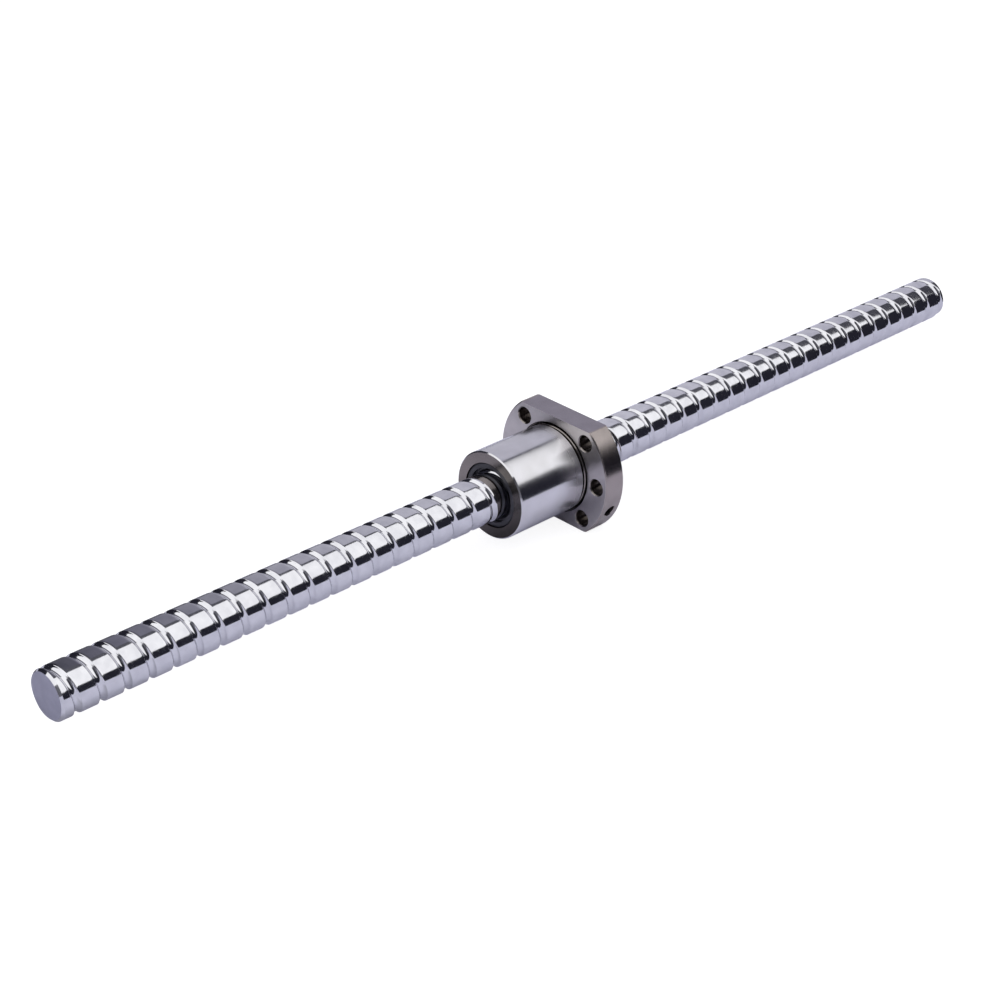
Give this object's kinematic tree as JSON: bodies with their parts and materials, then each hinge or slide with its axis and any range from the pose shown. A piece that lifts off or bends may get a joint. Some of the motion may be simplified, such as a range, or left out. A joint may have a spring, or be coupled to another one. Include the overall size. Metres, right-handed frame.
{
  "type": "ball screw",
  "caption": "Rolled ball screw with a flanged ball nut: the nut travels along the screw as it turns, and bolts to a carriage by its flange.",
  "frame": {"origin": "on the screw's axis, at the centre of the flange's hole pattern, in the plane of the flange's mounting face", "axes": "+X along the screw from the nut's body towards its flange and boss, +Z square to the flange's flats, +Y to complete a right-handed frame"},
  "size_m": [0.4885, 0.058, 0.044],
  "materials": {
    "rolled_steel": "polished rolled bearing steel, mirror bright",
    "ground_steel": "ground and turned hardened steel, satin",
    "ring_steel": "spring steel",
    "ball_steel": "polished bearing steel",
    "deflector_plastic": "moulded acetal",
    "wiper_plastic": "moulded polyamide, smooth"
  },
  "bodies": {
    "nut": {"nut_body": "ground_steel", "front_deflector": "deflector_plastic", "rear_deflector": "deflector_plastic", "front_retaining_ring": "ring_steel", "front_wiper": "wiper_plastic", "rear_wiper": "wiper_plastic", "return_balls": "ball_steel", "front_turn_balls": "ball_steel", "rear_turn_balls": "ball_steel", "load_balls_1": "ball_steel", "load_balls_2": "ball_steel", "load_balls_3": "ball_steel", "load_balls_4": "ball_steel", "load_balls_5": "ball_steel", "load_balls_6": "ball_steel", "load_balls_7": "ball_steel", "load_balls_8": "ball_steel", "load_balls_9": "ball_steel"},
    "turning_ring": {"rear_retaining_ring": "ring_steel"},
    "screw": {"screw_shaft": "rolled_steel"}
  },
  "joints": [
    {"name": "screw_turn", "type": "hinge", "parent": "nut", "child": "turning_ring", "pos_m": [0, 0, 0], "axis": [1, 0, 0], "range_deg": [-7920, 6840]},
    {"name": "screw_travel", "type": "slide", "parent": "turning_ring", "child": "screw", "axis": [1, 0, 0], "range_m": [-0.22, 0.19]}
  ],
  "couplings": [
    {"joint": "screw_turn", "follows": "screw_travel", "rad_per_m": 628.32}
  ]
}
